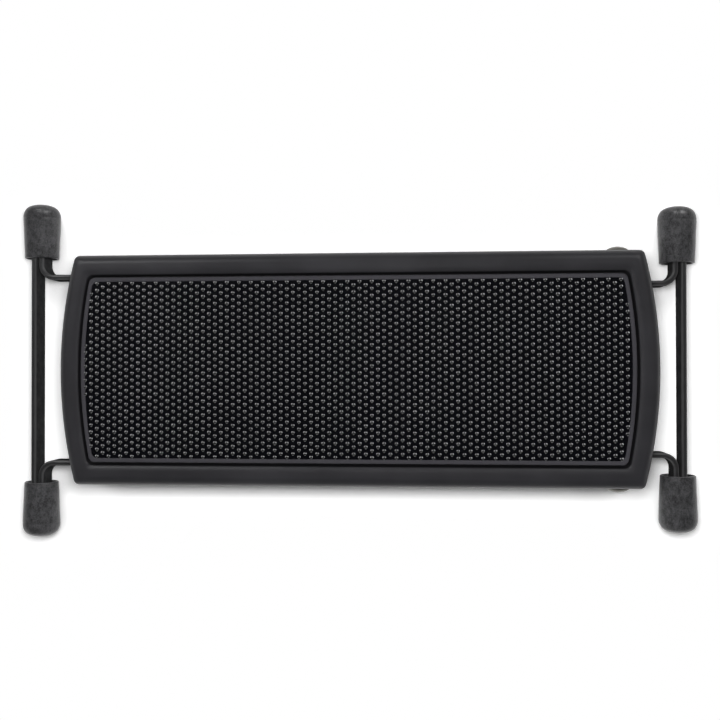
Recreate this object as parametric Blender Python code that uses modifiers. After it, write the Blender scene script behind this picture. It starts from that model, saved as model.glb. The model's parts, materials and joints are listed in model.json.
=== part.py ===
"""Folding guitar footrest, modelled folded flat on the floor.

A pressed steel deck with a rubber tread mat stands on two strip steel frames that cross like
scissors. The outer frame is riveted to the deck's side walls at the right. The two frames are
riveted to each other in the middle. The free end of the inner frame carries a latch rod that
drops into notched racks under the deck, one notch for each height.

Metres, +Z up, +X along the deck. The origin is on the floor below the centre rivets.
"""

import math

import bmesh
import bpy
from mathutils import Matrix, Vector

# Fits and mesh quality
FIT_GAP = 0.0003            # between pieces that touch on the real footrest
CUT_OVERRUN = 0.002         # how far a cutter runs past what it cuts
MERGE = 0.00002             # points closer than this are one point
TURN_STEPS = 28             # sides of a turned piece
CORNER_STEPS = 5            # segments round a corner of the deck
BOW_STEPS = 16              # segments along a bowed end
BEND_STEPS = 8              # segments round a bend of the strip
LIP_STEPS = 3               # segments round the mouth of a foot
SHARP_ANGLE = 35.0          # degrees between faces that meet in a sharp edge

# Deck pan
DECK_LENGTH = 0.280         # over the bowed ends
DECK_WIDTH = 0.109
END_BOW = 0.00715           # how far an end bows out past its corners
CORNER_RADIUS = 0.0028
SHEET = 0.0015              # thickness of the steel
OUTER_ROLL = 0.0045         # radius of the outer edge of the rim
RIM_WIDTH = 0.0097          # from the side wall to the wall of the recess
INNER_ROLL_WIDTH = 0.0034   # soft inner edge of the rim, across
INNER_ROLL_DROP = 0.0011    # and down
RECESS_DEPTH = 0.0024
RECESS_WALL_LEAN = 0.0005   # how far the recess wall leans in towards the floor of the recess
WALL_BELOW_PIVOT = 0.0059   # side wall below the pivot
WALL_CORNER = 0.0050        # rounding of the side walls' lower corners
LIP_CLEARANCE = 0.0011      # end lips above the legs that pass under them

# Tread mat
MAT_MARGIN = 0.0013         # from the wall of the recess to the mat
MAT_BOW = 0.0043            # how far an end of the mat bows out
MAT_CORNER_RADIUS = 0.0030
MAT_BASE = 0.0010           # thickness between the border
MAT_HEIGHT = 0.0020         # thickness of the border
MAT_BORDER = 0.0020         # width of the border
DOME_RADIUS = 0.00120       # a dome of the tread at its widest
DOME_HEIGHT = 0.00095       # above the base
DOME_SINK = 0.00015         # from the face of the base down to where a dome is widest
DOME_PITCH = 0.003262       # from dome to dome across the deck
DOME_COLUMN_PITCH = 0.002830
DOME_THINNING = 3           # the real mat has this many columns and rows for each one modelled
DOME_SIDES = 6
DOME_RINGS = 4

# Strip steel of the two frames
STRIP_HEIGHT = 0.0120       # the strip stands on edge
STRIP_THICKNESS = 0.0025
TAB_BEND_RADIUS = 0.0050    # inside the bend from leg to foot tab
HAIRPIN_GAP = 0.0012        # between foot tab and cross bar
EYE_FLAT = 0.0001           # flat left above and below the middle of a rounded end

# Where the pivots and feet are
PIVOT_INSET = 0.0164        # pivot rivets from the right end of the deck
LATCH_INSET = 0.0118        # latch rod from the left end of the deck, folded
FOOT_OUTREACH = 0.0112      # feet past the right end of the deck
FOOT_STANDOFF = 0.0096      # from a leg to the mouth of its foot
NOTCH_ANGLES = (18.0, 23.0, 28.0, 33.0, 38.0)   # degrees of fold at the five heights

# Rubber feet
FOOT_LENGTH = 0.0267
FOOT_FIT = 0.0004           # from the corners of the steel to the bore
FOOT_WALL = 0.0010          # rubber at the mouth, round the bore
FOOT_SWELL = 0.00075        # the foot is this much fatter at its dome than at its mouth
FOOT_DOME = 0.0062          # length of the domed end
DOME_SQUARENESS = 3.0       # 2 gives an elliptical dome, more gives flatter ends and rounder shoulders
FOOT_LIP = 0.0006           # rounding of the mouth
FOOT_FLOOR = 0.0060         # solid rubber between the steel and the end of the dome

# Pivot rivets, through side wall, spacer and outer leg
PIVOT_SHANK_RADIUS = 0.0025
PIVOT_HEAD_RADIUS = 0.0053
PIVOT_HEAD_HEIGHT = 0.0030
PIVOT_HEAD_RIM = 0.0007     # upright edge of the head
PIVOT_TAIL_RADIUS = 0.0038
TAIL_HEIGHT = 0.0012        # riveted-over ends
TAIL_EDGE = 0.0004          # upright edge of a riveted end
SPACER_LENGTH = 0.00585
SPACER_WALL = 0.0018

# Centre rivets, through outer leg, washer, inner leg and backing washer
CENTRE_SHANK_RADIUS = 0.0025
CENTRE_HEAD_RADIUS = 0.0048
CENTRE_HEAD_HEIGHT = 0.0022
CENTRE_HEAD_RIM = 0.0005
CENTRE_TAIL_RADIUS = 0.0038
WASHER_THICKNESS = 0.0022
WASHER_WALL = 0.0030
BACKING_THICKNESS = 0.0010  # washer under the riveted end

# Latch rod and its racks
ROD_RADIUS = 0.0030
ROD_NECK_RADIUS = 0.0022    # where the rod passes through the legs
ROD_TAIL_RADIUS = 0.0036
ROD_CLEARANCE = 0.0004      # between the sliding rod and the tips of the teeth
NOTCH_CLEARANCE = 0.0002    # round the rod in its notch
NOTCH_DEPTH = 0.0042
TOOTH_TIP = 0.0006          # flat end of a tooth
SEAT_END = 30.0             # degrees above level where the round seat passes into the tooth
RACK_END = 0.0036           # steel past the first and last notch
RACK_HEIGHT = 0.0119
RACK_THICKNESS = 0.0020
RACK_FLANGE = 0.0120        # width of the rack's flange under the deck
RACK_SETBACK = 0.0060       # from the inner leg to the rack

# Worked out from the sizes above
ARM = (DECK_LENGTH - PIVOT_INSET - LATCH_INSET) / 2       # pivot to centre, and centre to latch
FOOT_REACH = ARM + PIVOT_INSET + FOOT_OUTREACH            # centre to feet
DECK_CENTRE_X = ARM + PIVOT_INSET - DECK_LENGTH / 2
STRIP_HALF = STRIP_THICKNESS / 2
TAB_OFFSET = HAIRPIN_GAP / 2 + STRIP_HALF                 # tab and cross bar either side of a foot's axis
FOOT_BORE_RADIUS = math.hypot(TAB_OFFSET + STRIP_HALF, STRIP_HEIGHT / 2) + FOOT_FIT
FOOT_MOUTH_RADIUS = FOOT_BORE_RADIUS + FOOT_WALL
FOOT_RADIUS = FOOT_MOUTH_RADIUS + FOOT_SWELL
AXLE_Z = FOOT_RADIUS
TOOTH_Z = AXLE_Z + ROD_RADIUS + ROD_CLEARANCE
DECK_UNDERSIDE = TOOTH_Z + RACK_HEIGHT + FIT_GAP
RECESS_Z = DECK_UNDERSIDE + SHEET
DECK_TOP = RECESS_Z + RECESS_DEPTH
WALL_BOTTOM = AXLE_Z - WALL_BELOW_PIVOT
LIP_BOTTOM = AXLE_Z + STRIP_HEIGHT / 2 + LIP_CLEARANCE
WALL_INSIDE_Y = DECK_WIDTH / 2 - SHEET
OUTER_LEG_Y = WALL_INSIDE_Y - SPACER_LENGTH - 2 * FIT_GAP - STRIP_HALF
INNER_LEG_Y = OUTER_LEG_Y - STRIP_THICKNESS - WASHER_THICKNESS - 2 * FIT_GAP
RACK_Y = INNER_LEG_Y - RACK_SETBACK
MAT_INSET = RIM_WIDTH + MAT_MARGIN

PIVOT = Vector((ARM, 0, AXLE_Z))
CENTRE = Vector((0, 0, AXLE_Z))
LATCH = Vector((-ARM, 0, AXLE_Z))

BACK, FRONT = 1, -1
SIDE_NAMES = {BACK: "back", FRONT: "front"}


# Scene and collections

def clear_scene():
    """Remove every object of the start-up scene."""
    for obj in list(bpy.data.objects):
        bpy.data.objects.remove(obj, do_unlink=True)


def new_collection(name):
    """Make a collection in the scene."""
    collection = bpy.data.collections.new(name)
    bpy.context.scene.collection.children.link(collection)
    return collection


def new_material(name, colour, roughness, metallic):
    """A Principled material for one kind of piece."""
    material = bpy.data.materials.new(name)
    material.use_nodes = True
    shader = material.node_tree.nodes["Principled BSDF"]
    shader.inputs["Base Color"].default_value = (*colour, 1)
    shader.inputs["Roughness"].default_value = roughness
    shader.inputs["Metallic"].default_value = metallic
    material.diffuse_color = (*colour, 1)
    return material


def new_empty(name, place, parent=None):
    """An empty on a joint's axis, to carry the pieces that turn about it."""
    empty = bpy.data.objects.new(name, None)
    empty.empty_display_type = "SINGLE_ARROW"
    empty.empty_display_size = STRIP_HEIGHT
    parts.objects.link(empty)
    empty.parent = parent
    empty.location = place - (parent_place(parent))
    return empty


def parent_place(parent):
    """World place of a parent empty, none of which is turned."""
    place = Vector((0, 0, 0))
    while parent is not None:
        place = place + parent.location
        parent = parent.parent
    return place


def new_piece(name, mesh, material, parent, place=(0, 0, 0), turn=(0, 0, 0)):
    """A named sub-part with its material, carried by its body's empty."""
    obj = bpy.data.objects.new(name, mesh)
    if not mesh.materials:
        mesh.materials.append(material)
    parts.objects.link(obj)
    obj.parent = parent
    obj.location = Vector(place) - parent_place(parent)
    obj.rotation_euler = turn
    return obj


def new_cutter(name, mesh, place=(0, 0, 0), turn=(0, 0, 0)):
    """A shape that only cuts or joins others."""
    obj = bpy.data.objects.new(name, mesh)
    cutters.objects.link(obj)
    obj.location = place
    obj.rotation_euler = turn
    obj.hide_render = True
    obj.display_type = "WIRE"
    return obj


# Shapes

def facing(side):
    """Turn that points a turned piece's Z out through the given side of the footrest."""
    return (-side * math.pi / 2, 0, 0)


def rod_mesh(name, radius, half_length):
    """A plain cylinder along Z, centred."""
    bm = bmesh.new()
    bmesh.ops.create_cone(bm, cap_ends=True, segments=TURN_STEPS, radius1=radius, radius2=radius,
                          depth=2 * half_length)
    mesh = bpy.data.meshes.new(name)
    bm.to_mesh(mesh)
    bm.free()
    return mesh


def evaluated_mesh(obj):
    """The mesh of an object with its modifiers, welded, as plain data."""
    bpy.context.view_layer.update()
    graph = bpy.context.evaluated_depsgraph_get()
    mesh = bpy.data.meshes.new_from_object(obj.evaluated_get(graph))
    bm = bmesh.new()
    bm.from_mesh(mesh)
    bmesh.ops.remove_doubles(bm, verts=bm.verts, dist=MERGE)
    bm.to_mesh(mesh)
    bm.free()
    return mesh


def turned_mesh(name, profile, closed=False):
    """Turn a profile of (radius, height) points about Z.

    The profile runs top to bottom on its outer side. A closed one, for a ring, comes back up its
    inner side.
    """
    count = len(profile)
    edges = [(i, i + 1) for i in range(count - 1)]
    if closed:
        edges.append((count - 1, 0))
    line = bpy.data.meshes.new(name)
    line.from_pydata([(radius, 0, height) for radius, height in profile], edges, [])
    obj = bpy.data.objects.new(name, line)
    cutters.objects.link(obj)
    screw = obj.modifiers.new("turn", "SCREW")
    screw.steps = TURN_STEPS
    screw.render_steps = TURN_STEPS
    screw.use_merge_vertices = True
    screw.merge_threshold = MERGE
    mesh = evaluated_mesh(obj)
    bpy.data.objects.remove(obj, do_unlink=True)
    mesh.shade_smooth()
    mesh.set_sharp_from_angle(angle=math.radians(SHARP_ANGLE))
    return mesh


def outline_mesh(name, points, thickness):
    """Extrude a flat outline in XY by half its thickness each way."""
    curve = bpy.data.curves.new(name, "CURVE")
    curve.dimensions = "2D"
    curve.fill_mode = "BOTH"
    curve.extrude = thickness / 2
    spline = curve.splines.new("POLY")
    spline.points.add(len(points) - 1)
    for point, (x, y) in zip(spline.points, points):
        point.co = (x, y, 0, 1)
    spline.use_cyclic_u = True
    obj = bpy.data.objects.new(name, curve)
    cutters.objects.link(obj)
    mesh = evaluated_mesh(obj)
    bpy.data.objects.remove(obj, do_unlink=True)
    bpy.data.curves.remove(curve)
    return mesh


def boolean(obj, other, operation="DIFFERENCE"):
    """Cut another shape out of an object, or join it on."""
    modifier = obj.modifiers.new(other.name, "BOOLEAN")
    modifier.operation = operation
    modifier.solver = "EXACT"
    modifier.object = other


def arc_points(centre, radius, start, end, steps):
    """Points on an arc in a plane, angles in radians, ends included."""
    span = end - start
    return [(centre[0] + radius * math.cos(start + span * i / steps),
             centre[1] + radius * math.sin(start + span * i / steps)) for i in range(steps + 1)]


# Deck pan and tread mat

def deck_ring(inset, bow, corner_radius):
    """Closed outline of the deck, drawn in by an inset: straight sides and bowed ends."""
    half_length = DECK_LENGTH / 2 - inset
    half_width = DECK_WIDTH / 2 - inset
    bow_radius = (half_width ** 2 + bow ** 2) / (2 * bow)
    slope = math.asin(half_width / bow_radius)
    turn = math.pi / 2 - slope
    corner_x = half_length - bow
    reach = corner_radius * math.tan(turn / 2)
    corner_centre = (corner_x - reach, half_width - corner_radius)
    corner = arc_points(corner_centre, corner_radius, math.pi / 2, slope, CORNER_STEPS)
    end_angle = math.asin((half_width - reach * math.cos(slope)) / bow_radius)
    bow_centre = (half_length - bow_radius, 0)
    bow_arc = arc_points(bow_centre, bow_radius, end_angle, -end_angle, BOW_STEPS)
    right = corner + bow_arc[1:-1] + [(x, -y) for x, y in reversed(corner)]
    left = [(-x, -y) for x, y in right]
    return right + left


def inset_ring(inset):
    """The deck's outline at an inset, its bow and corners passing into those of the mat."""
    share = inset / MAT_INSET
    bow = END_BOW + (MAT_BOW - END_BOW) * share
    corner_radius = CORNER_RADIUS + (MAT_CORNER_RADIUS - CORNER_RADIUS) * share
    return deck_ring(inset, bow, corner_radius)


def lofted_mesh(name, sections, cap_first, cap_last):
    """Loft outlines of the deck's shape, each given as (inset, height)."""
    bm = bmesh.new()
    rings = []
    for inset, height in sections:
        rings.append([bm.verts.new((DECK_CENTRE_X + x, y, height)) for x, y in inset_ring(inset)])
    count = len(rings[0])
    for lower, upper in zip(rings, rings[1:]):
        for i in range(count):
            j = (i + 1) % count
            bm.faces.new((lower[i], upper[i], upper[j], lower[j]))
    if cap_first:
        bm.faces.new(rings[0])
    if cap_last:
        bm.faces.new(list(reversed(rings[-1])))
    bmesh.ops.recalc_face_normals(bm, faces=bm.faces)
    mesh = bpy.data.meshes.new(name)
    bm.to_mesh(mesh)
    bm.free()
    return mesh


def rim_sections():
    """Rings of the pan from the foot of its wall, over the rim and down into the recess."""
    sections = [(0, WALL_BOTTOM)]
    roll_steps = CORNER_STEPS + 1
    for i in range(roll_steps + 1):
        angle = math.pi / 2 * i / roll_steps
        sections.append((OUTER_ROLL * (1 - math.cos(angle)),
                         DECK_TOP - OUTER_ROLL * (1 - math.sin(angle))))
    inner_start = RIM_WIDTH - INNER_ROLL_WIDTH
    inner_steps = CORNER_STEPS - 1
    for i in range(inner_steps + 1):
        angle = math.pi / 2 * i / inner_steps
        sections.append((inner_start + INNER_ROLL_WIDTH * math.sin(angle),
                         DECK_TOP - INNER_ROLL_DROP * (1 - math.cos(angle))))
    sections.append((RIM_WIDTH + RECESS_WALL_LEAN, RECESS_Z))
    return sections


def make_deck_pan(parent):
    """Pressed pan: side walls, rolled rim and a shallow recess, open below for the frames."""
    mesh = lofted_mesh("deck_pan", rim_sections(), False, True)
    pan = new_piece("deck_pan", mesh, painted_deck, parent)
    solid = pan.modifiers.new("sheet", "SOLIDIFY")
    solid.thickness = SHEET
    solid.offset = -1
    solid.use_even_offset = True
    half = DECK_WIDTH / 2 + CUT_OVERRUN
    place = (DECK_CENTRE_X, 0, 0)
    for name, turn_z in (("lip_cut_right", 0), ("lip_cut_left", math.pi)):
        cut = outline_mesh(name, lip_cut_outline(), 2 * half)
        boolean(pan, new_cutter(name, cut, place, (math.pi / 2, 0, turn_z)))
    hole = rod_mesh("pivot_hole_cut", PIVOT_SHANK_RADIUS + FIT_GAP, half)
    boolean(pan, new_cutter("pivot_hole_cut", hole, PIVOT, facing(BACK)))


def lip_cut_outline():
    """Side view of what is cut from under an end of the pan, so that the legs can pass."""
    wall_end = DECK_LENGTH / 2 - END_BOW - CORNER_RADIUS
    outside = DECK_LENGTH / 2 + CUT_OVERRUN
    below = WALL_BOTTOM - CUT_OVERRUN
    centre = (wall_end - WALL_CORNER, WALL_BOTTOM + WALL_CORNER)
    corner = arc_points(centre, WALL_CORNER, 0, -math.pi / 2, CORNER_STEPS)
    return [(outside, LIP_BOTTOM), (wall_end, LIP_BOTTOM)] + corner + [(centre[0], below), (outside, below)]


def dome_places():
    """Where the domes of the tread stand: staggered columns, with none in the middle of the mat."""
    across = DOME_PITCH * DOME_THINNING
    along = DOME_COLUMN_PITCH * DOME_THINNING
    inside = MAT_INSET + MAT_BORDER + DOME_RADIUS
    half_length = DECK_LENGTH / 2 - inside
    half_width = DECK_WIDTH / 2 - inside
    columns = math.floor(half_length / along)
    rows = math.floor(half_width / across) + 1
    places = []
    for column in range(-columns, columns + 1):
        stagger = (column + 1) % 2 / 2
        for row in range(-rows, rows + 1):
            x = column * along
            y = (row + stagger) * across
            end = half_length - MAT_BOW * (y / half_width) ** 2
            if abs(x) <= end and abs(y) <= half_width:
                places.append((DECK_CENTRE_X + x, y))
    return places


def domes_mesh(foot_z):
    """Squashed balls, their lower halves flattened so that they end inside the base of the mat."""
    widest_z = foot_z - DOME_SINK
    height = DOME_HEIGHT + DOME_SINK
    root = (MAT_BASE - DOME_SINK) / 2
    shape = Matrix.Diagonal((DOME_RADIUS, DOME_RADIUS, height, 1))
    bm = bmesh.new()
    for x, y in dome_places():
        place = Matrix.Translation((x, y, widest_z))
        ball = bmesh.ops.create_uvsphere(bm, u_segments=DOME_SIDES, v_segments=DOME_RINGS, radius=1,
                                         matrix=place @ shape)
        for vert in ball["verts"]:
            if vert.co.z < widest_z:
                vert.co.z = widest_z + (vert.co.z - widest_z) * root / height
    mesh = bpy.data.meshes.new("tread_domes")
    bm.to_mesh(mesh)
    bm.free()
    return mesh


def make_tread_mat(parent):
    """Rubber mat in the recess: a thin base inside a raised border, with domes on the base."""
    bottom = RECESS_Z + FIT_GAP
    base_top = bottom + MAT_BASE
    sections = [(MAT_INSET, bottom), (MAT_INSET, bottom + MAT_HEIGHT),
                (MAT_INSET + MAT_BORDER, bottom + MAT_HEIGHT), (MAT_INSET + MAT_BORDER, base_top)]
    mat = new_piece("tread_mat", lofted_mesh("tread_mat", sections, True, True), rubber, parent)
    boolean(mat, new_cutter("tread_domes", domes_mesh(base_top)), "UNION")


# Leg frames

def bend_stations(centre, radius, start, end):
    """Stations round a bend of the strip, angles in radians."""
    ahead = math.copysign(math.pi / 2, end - start)
    stations = []
    for i in range(BEND_STEPS + 1):
        angle = start + (end - start) * i / BEND_STEPS
        place = (centre[0] + radius * math.cos(angle), centre[1] + radius * math.sin(angle))
        stations.append((place, angle + ahead, STRIP_HEIGHT / 2))
    return stations


def half_frame_stations(leg_y):
    """Half a frame with its feet at the right, from the leg's rounded eye to the cross bar.

    A station is a place on the strip's middle line, the strip's heading there in radians and half
    its height. The leg runs to the foot, bends out into the foot tab, turns back on itself in the
    foot and becomes the cross bar.
    """
    half_height = STRIP_HEIGHT / 2
    start = math.asin(EYE_FLAT / half_height)
    stations = []
    for i in range(BEND_STEPS + 1):
        angle = start + (math.pi / 2 - start) * i / BEND_STEPS
        place = (-ARM - half_height * math.cos(angle), leg_y)
        stations.append((place, 0, half_height * math.sin(angle)))
    bend = TAB_BEND_RADIUS + STRIP_HALF
    bend_centre = (FOOT_REACH - TAB_OFFSET - bend, leg_y + bend)
    bore_end = leg_y + FOOT_STANDOFF + FOOT_LENGTH - FOOT_FLOOR
    hairpin_centre = (FOOT_REACH, bore_end - FIT_GAP - STRIP_HALF - TAB_OFFSET)
    stations += bend_stations(bend_centre, bend, -math.pi / 2, 0)
    stations += bend_stations(hairpin_centre, TAB_OFFSET, math.pi, 0)
    return stations


def strip_mesh(name, stations):
    """Run the upright strip through the stations and on through their mirror image."""
    corners = ((1, 1), (-1, 1), (-1, -1), (1, -1))
    rings = []
    for (x, y), heading, half_height in stations:
        across_x = -math.sin(heading) * STRIP_HALF
        across_y = math.cos(heading) * STRIP_HALF
        rings.append([(x + side * across_x, y + side * across_y, level * half_height)
                      for side, level in corners])
    rings += [[(x, -y, z) for x, y, z in ring] for ring in reversed(rings)]
    bm = bmesh.new()
    loops = [[bm.verts.new(co) for co in ring] for ring in rings]
    for first, second in zip(loops, loops[1:]):
        for i in range(len(corners)):
            j = (i + 1) % len(corners)
            bm.faces.new((first[i], first[j], second[j], second[i]))
    bm.faces.new(loops[0])
    bm.faces.new(loops[-1])
    bmesh.ops.recalc_face_normals(bm, faces=bm.faces)
    mesh = bpy.data.meshes.new(name)
    bm.to_mesh(mesh)
    bm.free()
    return mesh


def make_frame(name, parent, leg_y, feet, eye_holes):
    """One frame, bent from a single strip, with its feet at the right (1) or the left (-1)."""
    mesh = strip_mesh(name, half_frame_stations(leg_y))
    turn = (0, 0, 0) if feet > 0 else (0, 0, math.pi)
    frame = new_piece(name, mesh, painted_strip, parent, CENTRE, turn)
    for place, radius in eye_holes:
        cutter_name = f"{name}_eye_cut_{len(frame.modifiers) + 1}"
        hole = rod_mesh(cutter_name, radius + FIT_GAP, leg_y + STRIP_THICKNESS)
        boolean(frame, new_cutter(cutter_name, hole, place, facing(BACK)))
    return frame


# Rubber feet

def foot_profile():
    """Half section of a foot, dome at the top and the mouth of its round bore at zero height."""
    dome_base = FOOT_LENGTH - FOOT_DOME
    bore_end = FOOT_LENGTH - FOOT_FLOOR
    power = 2 / DOME_SQUARENESS
    dome = [(0, FOOT_LENGTH)]
    for i in range(1, BEND_STEPS):
        angle = math.pi / 2 * i / BEND_STEPS
        dome.append((FOOT_RADIUS * math.sin(angle) ** power,
                     dome_base + FOOT_DOME * math.cos(angle) ** power))
    dome.append((FOOT_RADIUS, dome_base))
    lip = [(FOOT_MOUTH_RADIUS - FOOT_LIP * (1 - math.cos(math.pi / 2 * i / LIP_STEPS)),
            FOOT_LIP * (1 - math.sin(math.pi / 2 * i / LIP_STEPS)))
           for i in range(LIP_STEPS + 1)]
    bore = [(FOOT_BORE_RADIUS, 0), (FOOT_BORE_RADIUS, bore_end), (0, bore_end)]
    return dome + lip + bore


def make_feet(parent, mesh, frame_name, leg_y, feet):
    """The two feet of one frame, one for each side."""
    for side, side_name in SIDE_NAMES.items():
        place = (feet * FOOT_REACH, side * (leg_y + FOOT_STANDOFF), AXLE_Z)
        new_piece(f"{frame_name}_foot_{side_name}", mesh, rubber, parent, place, facing(side))


# Rivets, spacers and washers

def domed_head(radius, height, rim):
    """Half section of a domed head above zero height, from its top to its outer edge."""
    dome = [(radius * math.sin(math.pi / 2 * i / CORNER_STEPS),
             rim + (height - rim) * math.cos(math.pi / 2 * i / CORNER_STEPS))
            for i in range(CORNER_STEPS + 1)]
    return dome + [(radius, 0)]


def rivet_mesh(name, head, shank_radius, grip, tail_radius):
    """A rivet with its head above zero height and its riveted end below the grip."""
    tail_top = -grip
    profile = head + [(shank_radius, 0), (shank_radius, tail_top), (tail_radius, tail_top),
                      (tail_radius, tail_top - TAIL_EDGE),
                      (shank_radius, tail_top - TAIL_HEIGHT), (0, tail_top - TAIL_HEIGHT)]
    return turned_mesh(name, profile)


def ring_mesh(name, bore_radius, wall, length):
    """A spacer or washer standing on zero height."""
    outer = bore_radius + wall
    profile = [(outer, length), (outer, 0), (bore_radius, 0), (bore_radius, length)]
    return turned_mesh(name, profile, closed=True)


def make_pivot_rivets(parent):
    """Domed rivets outside the side walls, each with a spacer in to the outer leg."""
    head_y = DECK_WIDTH / 2 + FIT_GAP
    leg_inside_y = OUTER_LEG_Y - STRIP_HALF
    head = domed_head(PIVOT_HEAD_RADIUS, PIVOT_HEAD_HEIGHT, PIVOT_HEAD_RIM)
    grip = head_y - leg_inside_y + FIT_GAP
    rivet = rivet_mesh("pivot_rivet", head, PIVOT_SHANK_RADIUS, grip, PIVOT_TAIL_RADIUS)
    spacer = ring_mesh("pivot_spacer", PIVOT_SHANK_RADIUS + FIT_GAP, SPACER_WALL, SPACER_LENGTH)
    spacer_y = OUTER_LEG_Y + STRIP_HALF + FIT_GAP
    for side, side_name in SIDE_NAMES.items():
        place = PIVOT + Vector((0, side * head_y, 0))
        new_piece(f"pivot_rivet_{side_name}", rivet, rivet_steel, parent, place, facing(side))
        place = PIVOT + Vector((0, side * spacer_y, 0))
        new_piece(f"pivot_spacer_{side_name}", spacer, spacer_steel, parent, place, facing(side))


def make_centre_rivets(parent):
    """Rivets where the frames cross, with a washer between the legs."""
    head_y = OUTER_LEG_Y + STRIP_HALF + FIT_GAP
    leg_inside_y = INNER_LEG_Y - STRIP_HALF
    head = domed_head(CENTRE_HEAD_RADIUS, CENTRE_HEAD_HEIGHT, CENTRE_HEAD_RIM)
    grip = head_y - leg_inside_y + BACKING_THICKNESS + 2 * FIT_GAP
    bore = CENTRE_SHANK_RADIUS + FIT_GAP
    rivet = rivet_mesh("centre_rivet", head, CENTRE_SHANK_RADIUS, grip, CENTRE_TAIL_RADIUS)
    washer = ring_mesh("centre_washer", bore, WASHER_WALL, WASHER_THICKNESS)
    backing = ring_mesh("backing_washer", bore, WASHER_WALL, BACKING_THICKNESS)
    washer_y = INNER_LEG_Y + STRIP_HALF + FIT_GAP
    backing_y = leg_inside_y - FIT_GAP - BACKING_THICKNESS
    for side, side_name in SIDE_NAMES.items():
        place = CENTRE + Vector((0, side * head_y, 0))
        new_piece(f"centre_rivet_{side_name}", rivet, rivet_steel, parent, place, facing(side))
        place = CENTRE + Vector((0, side * washer_y, 0))
        new_piece(f"centre_washer_{side_name}", washer, spacer_steel, parent, place, facing(side))
        place = CENTRE + Vector((0, side * backing_y, 0))
        new_piece(f"backing_washer_{side_name}", backing, spacer_steel, parent, place, facing(side))


# Latch rod and racks

def make_latch_rod(parent):
    """Rod across the free end of the inner frame, riveted over outside the legs."""
    shoulder = INNER_LEG_Y - STRIP_HALF - FIT_GAP
    tail_inside = INNER_LEG_Y + STRIP_HALF + FIT_GAP
    tail_end = tail_inside + TAIL_HEIGHT
    tail_edge = tail_inside + TAIL_EDGE
    upper = [(0, tail_end), (ROD_NECK_RADIUS, tail_end), (ROD_TAIL_RADIUS, tail_edge),
             (ROD_TAIL_RADIUS, tail_inside), (ROD_NECK_RADIUS, tail_inside),
             (ROD_NECK_RADIUS, shoulder), (ROD_RADIUS, shoulder)]
    profile = upper + [(radius, -height) for radius, height in reversed(upper)]
    mesh = turned_mesh("latch_rod", profile)
    new_piece("latch_rod", mesh, rod_steel, parent, LATCH, facing(BACK))


def notch_places():
    """X of the latch rod at each height."""
    return [PIVOT.x - 2 * ARM * math.cos(math.radians(angle)) for angle in NOTCH_ANGLES]


def notch_outline(x, tooth_end):
    """Side view of one notch: an upright wall, a round seat and a sloping tooth."""
    radius = ROD_RADIUS + NOTCH_CLEARANCE
    seat_z = TOOTH_Z + NOTCH_DEPTH - radius
    seat = arc_points((x, seat_z), radius, math.pi, math.radians(SEAT_END), BEND_STEPS)
    tooth_end_low = (tooth_end, TOOTH_Z - CUT_OVERRUN)
    return [(x - radius, TOOTH_Z - CUT_OVERRUN)] + seat + [(tooth_end, TOOTH_Z), tooth_end_low]


def make_racks(parent):
    """Two notched angle strips under the deck, their flanges welded to its underside."""
    radius = ROD_RADIUS + NOTCH_CLEARANCE
    places = notch_places()
    tooth_ends = [x - radius - TOOTH_TIP for x in places[1:]] + [places[-1] + radius + TOOTH_TIP]
    notches = []
    for number, (x, tooth_end) in enumerate(zip(places, tooth_ends), start=1):
        name = f"notch_cut_{number}"
        mesh = outline_mesh(name, notch_outline(x, tooth_end), 2 * INNER_LEG_Y)
        notches.append(new_cutter(name, mesh, turn=(math.pi / 2, 0, 0)))
    left = places[0] - radius - RACK_END
    right = tooth_ends[-1] + RACK_END
    top = RACK_HEIGHT
    under = RACK_HEIGHT - RACK_THICKNESS
    half = RACK_THICKNESS / 2
    for side, side_name in SIDE_NAMES.items():
        name = f"notch_rack_{side_name}"
        section = [(side * half, 0), (side * half, top), (-side * RACK_FLANGE, top),
                   (-side * RACK_FLANGE, under), (-side * half, under), (-side * half, 0)]
        mesh = outline_mesh(name, section, right - left)
        mesh.transform(Matrix.Rotation(math.pi / 2, 4, "Z") @ Matrix.Rotation(math.pi / 2, 4, "X"))
        place = ((left + right) / 2, side * RACK_Y, TOOTH_Z)
        rack = new_piece(name, mesh, painted_strip, parent, place)
        for notch in notches:
            boolean(rack, notch)


def main():
    """Build every piece, body by body."""
    deck_body = new_empty("deck_body", Vector((0, 0, 0)))
    fold_axis = new_empty("fold_axis", PIVOT, deck_body)
    centre_axis = new_empty("centre_axis", CENTRE, fold_axis)

    make_deck_pan(deck_body)
    make_tread_mat(deck_body)
    make_racks(deck_body)
    make_pivot_rivets(deck_body)

    foot = turned_mesh("foot", foot_profile())
    outer_eyes = ((PIVOT, PIVOT_SHANK_RADIUS), (CENTRE, CENTRE_SHANK_RADIUS))
    make_frame("outer_frame", fold_axis, OUTER_LEG_Y, -1, outer_eyes)
    make_feet(fold_axis, foot, "outer", OUTER_LEG_Y, -1)
    make_centre_rivets(fold_axis)

    inner_eyes = ((LATCH, ROD_NECK_RADIUS), (CENTRE, CENTRE_SHANK_RADIUS))
    make_frame("inner_frame", centre_axis, INNER_LEG_Y, 1, inner_eyes)
    make_feet(centre_axis, foot, "inner", INNER_LEG_Y, 1)
    make_latch_rod(centre_axis)


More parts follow.
